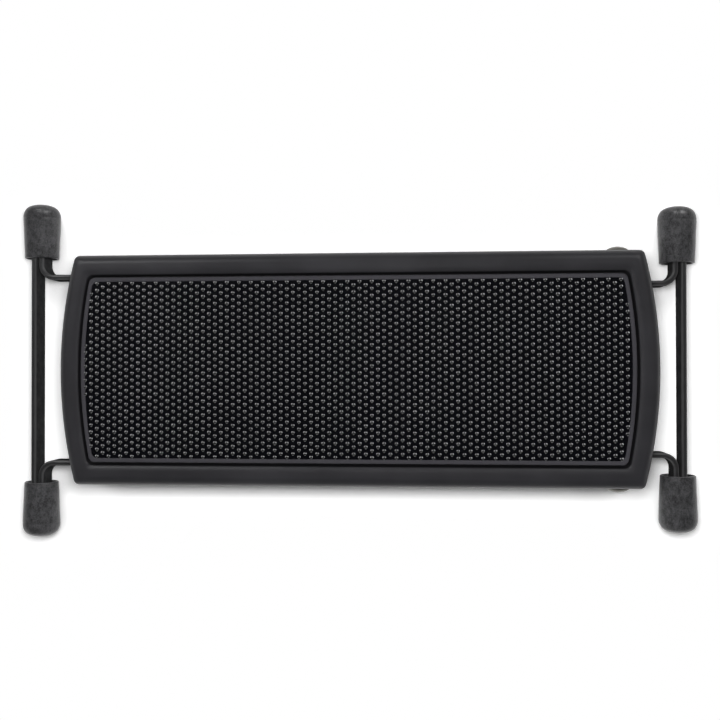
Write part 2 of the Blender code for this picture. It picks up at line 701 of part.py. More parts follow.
clear_scene()
parts = new_collection("guitar_footrest")
cutters = new_collection("cutters")
painted_deck = new_material("satin black paint on sheet", (0.020, 0.020, 0.022), 0.42, 0.0)
painted_strip = new_material("satin black paint on strip", (0.017, 0.017, 0.018), 0.45, 0.0)
rubber = new_material("black rubber", (0.018, 0.018, 0.019), 0.75, 0.0)
rivet_steel = new_material("dark plated steel", (0.120, 0.118, 0.105), 0.38, 0.9)
spacer_steel = new_material("zinc plated steel", (0.420, 0.420, 0.410), 0.40, 1.0)
rod_steel = new_material("bright steel rod", (0.300, 0.300, 0.300), 0.35, 1.0)
main()
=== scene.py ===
"""Looks of a folding guitar footrest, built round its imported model.

Laid out as an add-on: settings, one operator for each piece or group of like pieces, and a panel.
Metres, +Z up, +X along the deck towards its pivoted end, origin on the floor below the centre rivets.
"""

import json
import math

import bmesh
import bpy
from bpy.props import FloatProperty, FloatVectorProperty, IntProperty, PointerProperty
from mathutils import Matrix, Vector, noise

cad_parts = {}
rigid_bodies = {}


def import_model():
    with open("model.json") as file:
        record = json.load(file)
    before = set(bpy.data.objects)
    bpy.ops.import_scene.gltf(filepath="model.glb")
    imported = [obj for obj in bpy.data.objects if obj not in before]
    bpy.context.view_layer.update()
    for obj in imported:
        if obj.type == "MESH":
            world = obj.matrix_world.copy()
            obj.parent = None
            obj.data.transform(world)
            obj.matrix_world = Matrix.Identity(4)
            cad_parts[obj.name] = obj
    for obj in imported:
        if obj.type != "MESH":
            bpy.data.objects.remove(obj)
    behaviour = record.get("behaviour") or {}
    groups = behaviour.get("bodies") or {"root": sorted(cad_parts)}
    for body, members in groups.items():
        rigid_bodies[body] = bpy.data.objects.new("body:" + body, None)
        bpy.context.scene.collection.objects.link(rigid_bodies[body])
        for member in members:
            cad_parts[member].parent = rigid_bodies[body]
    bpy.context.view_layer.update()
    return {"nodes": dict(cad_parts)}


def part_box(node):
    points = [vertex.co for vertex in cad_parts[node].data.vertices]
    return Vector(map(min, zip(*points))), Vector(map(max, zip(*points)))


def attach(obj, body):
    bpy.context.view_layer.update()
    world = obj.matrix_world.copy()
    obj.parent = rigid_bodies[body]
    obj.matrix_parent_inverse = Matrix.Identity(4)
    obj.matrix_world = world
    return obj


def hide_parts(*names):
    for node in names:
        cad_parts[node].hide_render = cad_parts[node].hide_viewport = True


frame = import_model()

bl_info = {
    "name": "Guitar footrest",
    "version": (1, 0, 0),
    "blender": (4, 5, 0),
    "location": "View3D > Sidebar > Footrest",
    "description": "Builds the finished pieces of a folding guitar footrest round its packed model",
    "category": "Object",
}

DECK_LOW, DECK_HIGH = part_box("deck_pan")
MAT_LOW, MAT_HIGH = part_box("tread_mat")
HALF_LENGTH = (DECK_HIGH.x - DECK_LOW.x) / 2
HALF_WIDTH = (DECK_HIGH.y - DECK_LOW.y) / 2
MIDDLE = (DECK_LOW.x + DECK_HIGH.x) / 2
MAT_INSET = MAT_LOW.y - DECK_LOW.y
QUARTER = math.pi / 2
SIDES = (("back", 1), ("front", -1))
CORNER_STEPS = 8
END_STEPS = 40
SAME_PLACE = 0.0000005  # points nearer than this are one point
SHANK_RADIUS = 0.0025


# Settings

def length(name, description, default):
    """A length in metres that a user may change."""
    return FloatProperty(name=name, description=description, default=default, unit="LENGTH", precision=5)


def colour(name, description, default):
    """A linear colour that a user may change."""
    return FloatVectorProperty(name=name, description=description, default=default, subtype="COLOR",
                               size=3, min=0, max=1)


class DeckSettings(bpy.types.PropertyGroup):
    """Sizes of the pressed deck pan."""
    end_bow: length("End bow", "How far an end bows out past its corners", 0.00715)
    corner_radius: length("Corner radius", "Rounding of the corners in plan", 0.0028)
    sheet: length("Sheet", "Thickness of the steel", 0.0015)
    outer_roll: length("Outer roll", "Radius of the outer edge of the rim", 0.0045)
    rim_width: length("Rim width", "From the side wall to the wall of the recess", 0.0097)
    inner_roll_width: length("Inner roll width", "Soft inner edge of the rim, across", 0.0034)
    inner_roll_drop: length("Inner roll drop", "Soft inner edge of the rim, down", 0.0011)
    recess_depth: length("Recess depth", "From the rim down to the recess", 0.0024)
    recess_lean: length("Recess lean", "How far the recess wall leans in", 0.0005)
    wall_corner: length("Wall corner", "Rounding of the side walls' lower corners", 0.0050)
    lip_bottom: length("Lip height", "Height of the end lips' lower edge", 0.0160035)
    edge_round: length("Edge rounding", "Rounding of the cut edge of the sheet", 0.0003)


class MatSettings(bpy.types.PropertyGroup):
    """Sizes of the rubber tread mat."""
    bow: length("End bow", "How far an end of the mat bows out", 0.0043)
    corner_radius: length("Corner radius", "Rounding of the corners in plan", 0.0030)
    base: length("Base", "Thickness between the border", 0.0010)
    border: length("Border", "Width of the raised border", 0.0020)
    border_round: length("Border rounding", "Rounding of the border's edges", 0.0005)
    pitch: length("Dome pitch", "From dome to dome across the deck", 0.003262)
    column_pitch: length("Column pitch", "From column to column of domes along the deck", 0.00283)
    dome_radius: length("Dome radius", "Radius of a dome where it meets the base", 0.00118)
    dome_height: length("Dome height", "Height of a dome", 0.00098)
    shift: length("Dome shift", "How far the field of domes lies off the middle of the deck", 0.0004)
    overlap: length("Dome overlap", "How far the middle of a dome may lie under the border", 0.0004)
    size_spread: FloatProperty(name="Size spread", description="How much domes differ in size, as a share",
                               default=0.05, min=0, max=0.3, subtype="FACTOR")
    seed: IntProperty(name="Seed", description="Picks the small differences between domes", default=7)


class FrameSettings(bpy.types.PropertyGroup):
    """Sizes of the two strip steel frames."""
    thickness: length("Strip thickness", "Thickness of the strip", 0.0025)
    outer_leg: length("Outer leg", "Middle of an outer leg from the middle of the footrest", 0.0453)
    inner_leg: length("Inner leg", "Middle of an inner leg from the middle of the footrest", 0.0400)
    bend: length("Tab bend", "Inside radius of the bend from leg to foot tab", 0.0050)
    hairpin_gap: length("Hairpin gap", "Between foot tab and cross bar", 0.0012)
    edge_round: length("Edge rounding", "Rounding of the strip's edges", 0.00095)
    eye_flat: length("Eye flat", "Half the flat at the rounded end of a leg", 0.0001)


class FootSettings(bpy.types.PropertyGroup):
    """Sizes of the four rubber feet."""
    dome: length("Dome", "Length of the domed end", 0.0068)
    squareness: FloatProperty(name="Dome squareness", description="2 is an ellipse, more is squarer",
                              default=2.6, min=2, max=6)
    swell: length("Swell", "How much fatter the foot is at its dome than at its mouth", 0.00075)
    wall: length("Wall", "Rubber round the mouth", 0.0010)
    floor: length("Floor", "Solid rubber under the steel", 0.0060)
    lip: length("Lip", "Rounding of the mouth", 0.00045)
    crease: length("Crease", "Depth of the moulding crease round the dome", 0.00012)
    unevenness: length("Unevenness", "How far the worn rubber strays from round", 0.00010)


class RivetSettings(bpy.types.PropertyGroup):
    """Sizes of the rivet heads."""
    pivot_head: length("Pivot head", "Height of a pivot rivet's head", 0.0030)
    pivot_rim: length("Pivot rim", "Upright edge of a pivot rivet's head", 0.0007)
    centre_head: length("Centre head", "Height of a centre rivet's head", 0.0022)


class FinishSettings(bpy.types.PropertyGroup):
    """Colours of the finishes."""
    # a quarter of it is painted as shade in the groove round the mat
    deck_paint: colour("Deck paint", "Satin black paint of the deck", (0.0268, 0.0262, 0.0292))
    # its lighter and darker copies are painted on the strip's rounded edges and flat top as highlight and
    # shade
    strip_paint: colour("Strip paint", "Dull black paint of the frames", (0.0370, 0.0370, 0.0380))
    # near-black rubber; on the mat's base and low border sides it stands as painted shade
    mat_rubber: colour("Mat rubber", "Moulded black rubber", (0.0026, 0.0026, 0.0038))
    mat_border: colour("Mat border", "The mat's scuffed border", (0.0570, 0.0552, 0.0625))
    foot_rubber: colour("Foot rubber", "Scuffed charcoal rubber", (0.0490, 0.0488, 0.0510))
    dark_rivet: colour("Dark rivet", "Dark plated steel", (0.160, 0.156, 0.138))
    zinc: colour("Zinc plating", "Plated spacers and washers", (0.520, 0.520, 0.505))
    rod: colour("Bright rod", "Drawn steel", (0.460, 0.460, 0.465))


class FootrestSettings(bpy.types.PropertyGroup):
    """Everything a user would change."""
    deck: PointerProperty(type=DeckSettings)
    mat: PointerProperty(type=MatSettings)
    frames: PointerProperty(type=FrameSettings)
    feet: PointerProperty(type=FootSettings)
    rivets: PointerProperty(type=RivetSettings)
    finish: PointerProperty(type=FinishSettings)


def settings():
    """The scene's footrest settings."""
    return bpy.context.scene.footrest


# Node trees

class Wire:
    """One socket of a node tree. Arithmetic on it adds Math nodes, so that maths reads as maths."""

    def __init__(self, tree, socket):
        self.tree = tree
        self.socket = socket

    def maths(self, operation, *values):
        """Add a Math node on the given values."""
        return self.tree.node("ShaderNodeMath", {"operation": operation}, dict(enumerate(values)))

    def __add__(self, other):
        return self.maths("ADD", self, other)

    def __radd__(self, other):
        return self.maths("ADD", other, self)

    def __sub__(self, other):
        return self.maths("SUBTRACT", self, other)

    def __rsub__(self, other):
        return self.maths("SUBTRACT", other, self)

    def __mul__(self, other):
        return self.maths("MULTIPLY", self, other)

    def __rmul__(self, other):
        return self.maths("MULTIPLY", other, self)

    def __truediv__(self, other):
        return self.maths("DIVIDE", self, other)

    def __rtruediv__(self, other):
        return self.maths("DIVIDE", other, self)

    def __pow__(self, other):
        return self.maths("POWER", self, other)

    def __gt__(self, other):
        return self.maths("GREATER_THAN", self, other)

    def __lt__(self, other):
        return self.maths("LESS_THAN", self, other)

    def __abs__(self):
        return self.maths("ABSOLUTE", self)

    def larger(self, other):
        """The larger of two values."""
        return self.maths("MAXIMUM", self, other)

    def clamp(self, low, high):
        """Hold a value between two others."""
        return self.maths("MINIMUM", self.larger(low), high)

    def share(self, low, high):
        """How far the value is from low to high, held from 0 to 1."""
        return ((self - low) / (high - low)).clamp(0, 1)


class Tree:
    """A node tree being wired, with one method that adds any node."""

    def __init__(self, tree):
        self.tree = tree

    def node(self, kind, options=None, sockets=None, output=0):
        """Add a node: its options first, then values or wires for its sockets."""
        node = self.tree.nodes.new(kind)
        for name, value in (options or {}).items():
            if name == "stops":
                self.set_stops(node.color_ramp, value)
            else:
                setattr(node, name, value)
        for name, value in (sockets or {}).items():
            self.feed(node.inputs[name], value)
        return Wire(self, node.outputs[output])

    def vector(self, x, y, z):
        """A vector from three values or wires."""
        return self.node("ShaderNodeCombineXYZ", {}, {0: x, 1: y, 2: z})

    def axes(self, vector):
        """The X, Y and Z of a vector, as three wires."""
        node = self.tree.nodes.new("ShaderNodeSeparateXYZ")
        self.feed(node.inputs[0], vector)
        return [Wire(self, socket) for socket in node.outputs]

    def feed(self, socket, value):
        """Give a socket a wire or a plain value."""
        if isinstance(value, Wire):
            self.tree.links.new(value.socket, socket)
        else:
            socket.default_value = value

    @staticmethod
    def set_stops(ramp, stops):
        """Set a colour ramp's stops from (position, grey) pairs."""
        while len(ramp.elements) < len(stops):
            ramp.elements.new(1)
        for element, (position, grey) in zip(ramp.elements, stops):
            element.position = position
            element.color = (grey, grey, grey, 1)


class Finish(Tree):
    """A material being made round one Principled shader."""

    def __init__(self, name):
        self.material = bpy.data.materials.new(f"{name}_finish")
        self.material.use_nodes = True
        super().__init__(self.material.node_tree)
        self.shader = self.tree.nodes["Principled BSDF"]
        self.place = self.node("ShaderNodeTexCoord", output="Object")

    def stretched(self, scale):
        """Object coordinates stretched along the axes."""
        return self.node("ShaderNodeMapping", {}, {"Vector": self.place, "Scale": scale})

    def noise(self, size, detail=2, roughness=0.5, place=None):
        """Noise whose features are about the given size in metres, from 0 to 1."""
        return self.node("ShaderNodeTexNoise", {}, {"Vector": place or self.place, "Scale": 1 / size,
                                                    "Detail": detail, "Roughness": roughness})

    def cloud(self, size):
        """Soft uneven clouds of about the given size in metres."""
        return self.noise(size, 3, 0.6)

    def openness(self, reach, samples, **sockets):
        """How open the surface is: 1 where nothing stands within reach, less in a corner."""
        return self.node("ShaderNodeAmbientOcclusion", {"samples": samples},
                         {"Distance": reach, **sockets}, output=1)

    def ramp(self, value, *stops):
        """Grey from a value through (position, grey) stops."""
        return self.node("ShaderNodeValToRGB", {"stops": stops}, {"Fac": value})

    def step(self, value, low, high):
        """0 below low, 1 above high, and an even slope between."""
        return self.ramp(value, (low, 0.0), (high, 1.0))

    def mix(self, share, first, second):
        """Mix two colours."""
        return self.node("ShaderNodeMix", {"data_type": "RGBA"},
                         {0: share, 6: opaque(first), 7: opaque(second)}, output=2)

    def shades(self, share, base, dark, light):
        """A colour from a darker to a lighter share of its base."""
        return self.mix(share, shade_of(base, dark), shade_of(base, light))

    def bump(self, height, distance, strength):
        """Normals from a height that stands for the given distance in metres."""
        return self.node("ShaderNodeBump", {},
                         {"Height": height, "Distance": distance, "Strength": strength})

    def dress(self, **inputs):
        """Set the shader's sockets by name, underscores for spaces, and return the material."""
        for name, value in inputs.items():
            self.feed(self.shader.inputs[name.replace("_", " ")], value)
        return self.material


def opaque(value):
    """A colour with full alpha, or a wire as it is."""
    return value if isinstance(value, Wire) else (*value[:3], 1)


def shade_of(base, share):
    """A colour made lighter or darker by a share."""
    return tuple(min(1, channel * share) for channel in base)


# Finishes

def make_deck_paint():
    """Satin black paint: fine powder grain, faint smudges, and painted shade that darkens it down in the
    groove round the mat.
    """
    base = settings().finish.deck_paint
    finish = Finish("deck_paint")
    smudge = finish.cloud(0.030)
    peel = finish.noise(0.0011)
    powder = finish.noise(0.00028, detail=1)
    worn = finish.shades(finish.step(smudge, 0.35, 0.7), base, 0.85, 1.2)
    # painted shade: the paint darkens to a quarter of its colour where the groove round the mat closes in
    painted_shade_reach = 0.0035
    free_of_painted_shade = finish.openness(painted_shade_reach, 12).share(0.40, 0.90)
    return finish.dress(
        Base_Color=finish.mix(free_of_painted_shade, shade_of(base, 0.25), worn),
        Roughness=0.36 + smudge * 0.05 + powder * 0.05,
        Specular_IOR_Level=0.4,
        Normal=finish.bump(peel * 0.7 + powder * 0.3, 0.00003, 0.4))


def make_strip_paint():
    """Dull black paint on the strip, faintly streaked, rubbed to a shine on its upper edge, with painted
    highlights on its rounded edges and painted shade on its flat top.
    """
    base = settings().finish.strip_paint
    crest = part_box("outer_frame")[1].z
    finish = Finish("strip_paint")
    streak = finish.cloud(0.0040)
    powder = finish.noise(0.00035)
    rubbed_depth = 0.0016
    rubbed = (finish.axes(finish.place)[2] - (crest - rubbed_depth)) / rubbed_depth
    upward = finish.axes(finish.node("ShaderNodeTexCoord", output="Normal"))[2]
    tone = finish.step(streak, 0.35, 0.75)
    # painted highlight: the rounded edges, found by how far they face up, get a lighter copy of the paint
    rounding = finish.ramp(upward, (0.20, 0.0), (0.45, 1.0), (0.88, 1.0), (0.99, 0.0))
    # painted shade: the flat top gets a darker copy of the streaked paint than the sides
    top = finish.shades(tone, base, 0.5, 0.75)
    side = finish.shades(tone, base, 0.85, 1.45)
    flat = finish.mix(finish.step(upward, 0.90, 0.99), side, top)
    return finish.dress(
        Base_Color=finish.mix(rounding, flat, shade_of(base, 1.45)),
        Roughness=0.40 + streak * 0.10 + powder * 0.08,
        Specular_IOR_Level=0,
        Coat_Weight=finish.step(rubbed, 0.2, 0.8),
        Coat_Roughness=0.30,
        Normal=finish.bump(powder * 0.6 + streak * 0.4, 0.00004, 0.5))


def make_mat_rubber():
    """Moulded black rubber: a scuffed, grained border, and a near-black base that is painted shade between
    the domes and low on the border's sides.
    """
    colours = settings().finish
    finish = Finish("mat_rubber")
    base_top = MAT_LOW.z + settings().mat.base
    climbed = (finish.axes(finish.place)[2] - base_top) / (MAT_HIGH.z - base_top)
    raised = (climbed * 1.6 - 0.3).clamp(0, 1)  # painted shade mask: 0 on the base and low on the border's sides, 1 near the border's top
    bloom = finish.cloud(0.018)
    grain = finish.cloud(0.00050)
    scuffed = finish.shades(grain * 0.6 + bloom * 0.4, colours.mat_border, 0.7, 1.3)
    # base colour: near-black painted shade low down, the border's scuffed grey near its top
    return finish.dress(
        Base_Color=finish.mix(raised, colours.mat_rubber, scuffed),
        Roughness=0.36 + bloom * 0.06 + grain * 0.08,
        Specular_IOR_Level=0.06,
        Normal=finish.bump(grain, 0.00010, 0.6))


def make_dome_rubber():
    """The same rubber on the domes, moulded smooth and rubbed to a shine."""
    base = settings().finish.mat_rubber
    finish = Finish("dome_rubber")
    bloom = finish.cloud(0.006)
    return finish.dress(
        Base_Color=finish.shades(bloom, base, 0.8, 1.3),
        Roughness=0.07 + bloom * 0.05)


def make_foot_rubber():
    """Scuffed charcoal rubber, faintly mottled, with a dull shine."""
    base = settings().finish.foot_rubber
    finish = Finish("foot_rubber")
    cloud = finish.step(finish.cloud(0.0065), 0.35, 0.65)
    mottle = finish.noise(0.0021, 5, 0.75, finish.stretched((1, 0.6, 1)))
    grain = finish.noise(0.00060)
    patch = finish.step(mottle, 0.40, 0.60)
    speck = finish.step(grain, 0.35, 0.65)
    return finish.dress(
        Base_Color=finish.shades(patch * 0.45 + cloud * 0.25 + speck * 0.3, base, 0.20, 1.85),
        Roughness=0.28 + mottle * 0.16,
        Specular_IOR_Level=0.3,
        Normal=finish.bump(mottle * 0.6 + grain * 0.4, 0.00015, 0.5))


def make_dark_rivet():
    """Dark plated steel with a faint brown cast."""
    base = settings().finish.dark_rivet
    finish = Finish("dark_rivet")
    stain = finish.cloud(0.0022)
    grain = finish.noise(0.00030)
    return finish.dress(
        Base_Color=finish.shades(stain, base, 0.65, 1.3),
        Metallic=0.9,
        Roughness=0.34 + stain * 0.14,
        Normal=finish.bump(grain, 0.00003, 0.5))


def make_zinc():
    """Dull zinc plating with a fine crystal bloom."""
    base = settings().finish.zinc
    finish = Finish("plated_steel")
    bloom = finish.cloud(0.0014)
    grain = finish.noise(0.00022)
    return finish.dress(
        Base_Color=finish.shades(bloom, base, 0.7, 1.15),
        Metallic=1.0,
        Roughness=0.36 + bloom * 0.14,
        Normal=finish.bump(grain, 0.00002, 0.4))


def make_rod_steel():
    """Bright drawn steel with draw lines along the rod."""
    base = settings().finish.rod
    finish = Finish("rod_steel")
    lines = finish.noise(0.00030, 3, 0.7, finish.stretched((1, 0.03, 1)))
    bloom = finish.cloud(0.0050)
    return finish.dress(
        Base_Color=finish.shades(bloom, base, 0.75, 1.15),
        Metallic=1.0,
        Roughness=0.24 + lines * 0.18,
        Normal=finish.bump(lines, 0.00002, 0.5))


FINISHES = {
    "deck_paint": make_deck_paint,
    "strip_paint": make_strip_paint,
    "mat_rubber": make_mat_rubber,
    "dome_rubber": make_dome_rubber,
    "foot_rubber": make_foot_rubber,
    "dark_rivet": make_dark_rivet,
    "plated_steel": make_zinc,
    "rod_steel": make_rod_steel,
}


def finish_named(name):
    """A finish by name, made the first time that it is asked for."""
    return bpy.data.materials.get(f"{name}_finish") or FINISHES[name]()


# Meshes

def new_piece(name, mesh, body, slot, *nodes, finish=None):
    """A finished piece that rides on a body and stands for its solids."""
    mesh.materials.clear()
    mesh.materials.append(finish_named(finish or slot))
    piece = bpy.data.objects.new(name, mesh)
    bpy.context.scene.collection.objects.link(piece)
    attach(piece, body)
    if nodes:
        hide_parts(*nodes)
    return piece


def mesh_of_rings(name, rings, closed_rings=True, loop=False, cap_first=False, cap_last=False):
    """Faces between rings of points, each ring with the same count."""
    bm = bmesh.new()
    loops = [[bm.verts.new(point) for point in ring] for ring in rings]
    count = len(rings[0])
    pairs = list(zip(loops, loops[1:]))
    if loop:
        pairs.append((loops[-1], loops[0]))
    for first, second in pairs:
        for i in range(count if closed_rings else count - 1):
            j = (i + 1) % count
            bm.faces.new((first[i], first[j], second[j], second[i]))
    if cap_first:
        bm.faces.new(loops[0])
    if cap_last:
        bm.faces.new(loops[-1])
    bmesh.ops.remove_doubles(bm, verts=bm.verts, dist=SAME_PLACE)
    bmesh.ops.recalc_face_normals(bm, faces=bm.faces)
    mesh = bpy.data.meshes.new(name)
    bm.to_mesh(mesh)
    bm.free()
    return mesh


def smooth(mesh, degrees=35):
    """Smooth shading with sharp edges above an angle."""
    mesh.shade_smooth()
    mesh.set_sharp_from_angle(angle=math.radians(degrees))
    return mesh


def evaluated(mesh, *modifiers):
    """A mesh with modifiers applied, each given as (kind, settings)."""
    carrier = bpy.data.objects.new(mesh.name, mesh)
    bpy.context.scene.collection.objects.link(carrier)
    for kind, options in modifiers:
        modifier = carrier.modifiers.new(kind.lower(), kind)
        for name, value in options.items():
            setattr(modifier, name, value)
    bpy.context.view_layer.update()
    graph = bpy.context.evaluated_depsgraph_get()
    result = bpy.data.meshes.new_from_object(carrier.evaluated_get(graph))
    bpy.data.objects.remove(carrier, do_unlink=True)
    result.name = mesh.name
    return result


def arc(centre, radius, start, end, steps):
    """Points on an arc in a plane, ends included."""
    return [(centre[0] + radius * math.cos(start + (end - start) * i / steps),
             centre[1] + radius * math.sin(start + (end - start) * i / steps))
            for i in range(steps + 1)]


def quarter_turn(steps):
    """Angles of a quarter turn, ends included."""
    return [QUARTER * i / steps for i in range(steps + 1)]


def axis_at(low, high, y):
    """The middle of a box seen from the side, at a place across the footrest."""
    return Vector(((low.x + high.x) / 2, y, (low.z + high.z) / 2))


def turned(name, profile, axis_place, side, steps=48):
    """Turn (radius, height) points about an axis across the footrest, height pointing outwards."""
    rings = []
    for i in range(steps):
        angle = 2 * math.pi * i / steps
        across, up = math.cos(angle), math.sin(angle)
        rings.append([axis_place + Vector((radius * across, side * height, radius * up))
                      for radius, height in profile])
    return mesh_of_rings(name, rings, closed_rings=False, loop=True)


# Deck and mat

def deck_outline(inset, share, side_shares):
    """Closed outline of the deck at an inset; a share of 1 has the mat's bow and corners.

    It runs from the back corner at the right round the right end, along the front, round the left
    end and along the back. side_shares place extra points along the straight sides.
    """
    deck, mat = settings().deck, settings().mat
    bow = deck.end_bow + (mat.bow - deck.end_bow) * share
    radius = deck.corner_radius + (mat.corner_radius - deck.corner_radius) * share
    half_length = HALF_LENGTH - inset
    half_width = HALF_WIDTH - inset
    bow_radius = (half_width ** 2 + bow ** 2) / (2 * bow)
    slope = math.asin(half_width / bow_radius)
    reach = radius * math.tan((QUARTER - slope) / 2)
    corner = arc((half_length - bow - reach, half_width - radius), radius, QUARTER, slope, CORNER_STEPS)
    end_angle = math.asin((half_width - reach * math.cos(slope)) / bow_radius)
    end = arc((half_length - bow_radius, 0), bow_radius, end_angle, -end_angle, END_STEPS)
    right = corner + end[1:-1] + [(x, -y) for x, y in reversed(corner)]
    tangent = corner[0][0]
    front = [(tangent * place, -half_width) for place in reversed(side_shares)]
    back = [(tangent * place, half_width) for place in side_shares]
    return right + front + [(-x, -y) for x, y in right] + back


def deck_ring(inset, height, side_shares=()):
    """A ring of the deck's outline at an inset and a height, or a height for each point."""
    points = deck_outline(inset, inset / MAT_INSET, side_shares)
    heights = height if isinstance(height, list) else [height] * len(points)
    return [(MIDDLE + x, y, z) for (x, y), z in zip(points, heights)]


def wall_edge():
    """Lower edge of a side wall as (share of the straight side, height), left to right."""
    deck = settings().deck
    tangent = max(x for x, y in deck_outline(0, 0, ()) if y > HALF_WIDTH - 2 * SAME_PLACE)
    wall_end = HALF_LENGTH - deck.end_bow - deck.corner_radius
    bottom, radius = DECK_LOW.z, deck.wall_corner
    corner = arc((wall_end - radius, bottom + radius), radius, -QUARTER, 0, CORNER_STEPS)
    step = 0.0003
    half = [(place, bottom) for place in (0.05, 0.09, 0.11)] + corner
    half += [(wall_end, deck.lip_bottom - step), (wall_end + step, deck.lip_bottom)]
    left = [(-x, z) for x, z in reversed(half)]
    return [(x / tangent, z) for x, z in left + [(0, bottom)] + half]


def rim_profile():
    """(inset, height) of the pan from the top of its wall over the rim and down into the recess."""
    deck = settings().deck
    profile = [(deck.outer_roll * (1 - math.cos(angle)),
                DECK_HIGH.z - deck.outer_roll * (1 - math.sin(angle)))
               for angle in quarter_turn(12)]
    start = deck.rim_width - deck.inner_roll_width
    profile += [(start + deck.inner_roll_width * math.sin(angle),
                 DECK_HIGH.z - deck.inner_roll_drop * (1 - math.cos(angle)))
                for angle in quarter_turn(8)]
    floor = DECK_HIGH.z - deck.recess_depth
    foot = 0.0003
    profile += [(deck.rim_width + deck.recess_lean, floor + foot),
                (deck.rim_width + deck.recess_lean + foot, floor)]
    return profile


class FOOTREST_OT_deck_pan(bpy.types.Operator):
    """Build the pressed deck pan with its rolled rim, recess and cut-away ends"""
    bl_idname = "footrest.deck_pan"
    bl_label = "Deck pan"

    def execute(self, context):
        deck = settings().deck
        edge = wall_edge()
        shares = [share for share, height in edge]
        round_end = len(deck_outline(0, 0, ())) // 2
        lower = [deck.lip_bottom] * round_end + [height for share, height in reversed(edge)]
        lower += [deck.lip_bottom] * round_end + [height for share, height in edge]
        profile = rim_profile()
        wall_top = profile[0][1]
        rings = [deck_ring(0, [low + (wall_top - low) * rise for low in lower], shares)
                 for rise in (0, 0.3, 0.6, 0.85)]
        rings += [deck_ring(inset, height, shares) for inset, height in profile]
        mesh = mesh_of_rings("deck_shell", rings, cap_last=True)
        if mesh.polygons[len(mesh.polygons) - 1].normal.z < 0:
            mesh.flip_normals()
        mesh = evaluated(mesh,
                         ("SOLIDIFY", {"thickness": deck.sheet, "offset": -1, "use_even_offset": True}),
                         ("BEVEL", {"width": deck.edge_round, "segments": 2, "limit_method": "ANGLE",
                                    "angle_limit": math.radians(50)}))
        for vertex in mesh.vertices:  # no point may stray past the side walls
            vertex.co.y = max(DECK_LOW.y, min(DECK_HIGH.y, vertex.co.y))
        new_piece("deck_shell", smooth(mesh), "deck", "deck_paint", "deck_pan")
        return {"FINISHED"}


class FOOTREST_OT_tread_mat(bpy.types.Operator):
    """Build the rubber mat: a thin base inside a raised border with rounded edges"""
    bl_idname = "footrest.tread_mat"
    bl_label = "Tread mat"

    def execute(self, context):
        mat = settings().mat
        curve, angles = mat.border_round, quarter_turn(5)
        inner = MAT_INSET + mat.border
        profile = [(MAT_INSET, MAT_LOW.z)]
        profile += [(MAT_INSET + curve * (1 - math.cos(angle)), MAT_HIGH.z - curve * (1 - math.sin(angle)))
                    for angle in angles]
        profile += [(inner - curve * (1 - math.sin(angle)), MAT_HIGH.z - curve * (1 - math.cos(angle)))
                    for angle in angles]
        profile.append((inner, MAT_LOW.z + mat.base))
        rings = [deck_ring(distance, height) for distance, height in profile]
        mesh = mesh_of_rings("mat_sheet", rings, cap_first=True, cap_last=True)
        new_piece("mat_sheet", smooth(mesh), "deck", "mat_rubber", "tread_mat")
        return {"FINISHED"}


def dome_tree(values):
    """Geometry nodes: a staggered lattice of small domes, kept where the mat's border lets it be."""
    group = bpy.data.node_groups.new("tread_domes", "GeometryNodeTree")
    group.interface.new_socket("Geometry", in_out="OUTPUT", socket_type="NodeSocketGeometry")
    for name, value in values.items():
        kind = "NodeSocketInt" if isinstance(value, int) else "NodeSocketFloat"
        group.interface.new_socket(name, in_out="INPUT", socket_type=kind)
    tree = Tree(group)
    inputs = group.nodes.new("NodeGroupInput")
    size = {name: Wire(tree, inputs.outputs[name]) for name in values}

    across, along = size["Pitch"], size["Column pitch"]
    rows, columns = size["Rows"], size["Columns"]
    lattices = []
    for shift_x, shift_y in ((0, 0), (along, across * 0.5)):
        grid = tree.node("GeometryNodeMeshGrid", {}, {
            "Size X": (columns - 1) * along * 2, "Size Y": (rows - 1) * across,
            "Vertices X": columns, "Vertices Y": rows})
        offset = tree.vector(size["Middle"] + shift_x, shift_y, size["Height"])
        lattices.append(tree.node("GeometryNodeTransform", {}, {"Geometry": grid, "Translation": offset}))
    join = group.nodes.new("GeometryNodeJoinGeometry")
    for lattice in reversed(lattices):
        group.links.new(lattice.socket, join.inputs[0])
    points = Wire(tree, join.outputs[0])

    def without(geometry, unwanted):
        """Geometry without its unwanted points."""
        return tree.node("GeometryNodeDeleteGeometry", {"domain": "POINT"},
                         {"Geometry": geometry, "Selection": unwanted})

    x, y, z = tree.axes(tree.node("GeometryNodeInputPosition"))
    end = size["Half length"] - size["Bow"] * (y / size["Half width"]) ** 2
    past_end = abs(x - size["Deck middle"]) > end
    kept = without(points, past_end.larger(abs(y) > size["Half width"]))

    ball = tree.node("GeometryNodeMeshUVSphere", {},
                     {"Segments": 12, "Rings": 8, "Radius": size["Dome radius"]})
    dome = without(ball, z < -0.00001)
    squash = tree.vector(1.0, 1.0, size["Dome height"] / size["Dome radius"])
    dome = tree.node("GeometryNodeTransform", {}, {"Geometry": dome, "Scale": squash})

    def spread(low, high, number):
        """A random value for each dome."""
        return tree.node("FunctionNodeRandomValue", {"data_type": "FLOAT"},
                         {2: low, 3: high, "Seed": size["Seed"] + number}, output=1)

    wide = spread(1 - size["Size spread"], 1 + size["Size spread"], 1)
    tall = spread(1 - size["Size spread"], 1 + size["Size spread"], 2)
    scale = tree.vector(wide, wide, tall)
    turn = tree.vector(0.0, 0.0, spread(0.0, math.pi, 3))
    domes = tree.node("GeometryNodeInstanceOnPoints", {}, {
        "Points": kept, "Instance": dome, "Rotation": turn, "Scale": scale})
    domes = tree.node("GeometryNodeRealizeInstances", {}, {"Geometry": domes})
    domes = tree.node("GeometryNodeSetShadeSmooth", {}, {"Geometry": domes})
    domes = tree.node("GeometryNodeSetMaterial", {},
                      {"Geometry": domes, "Material": finish_named("dome_rubber")})
    output = group.nodes.new("NodeGroupOutput")
    group.links.new(domes.socket, output.inputs[0])
    return group


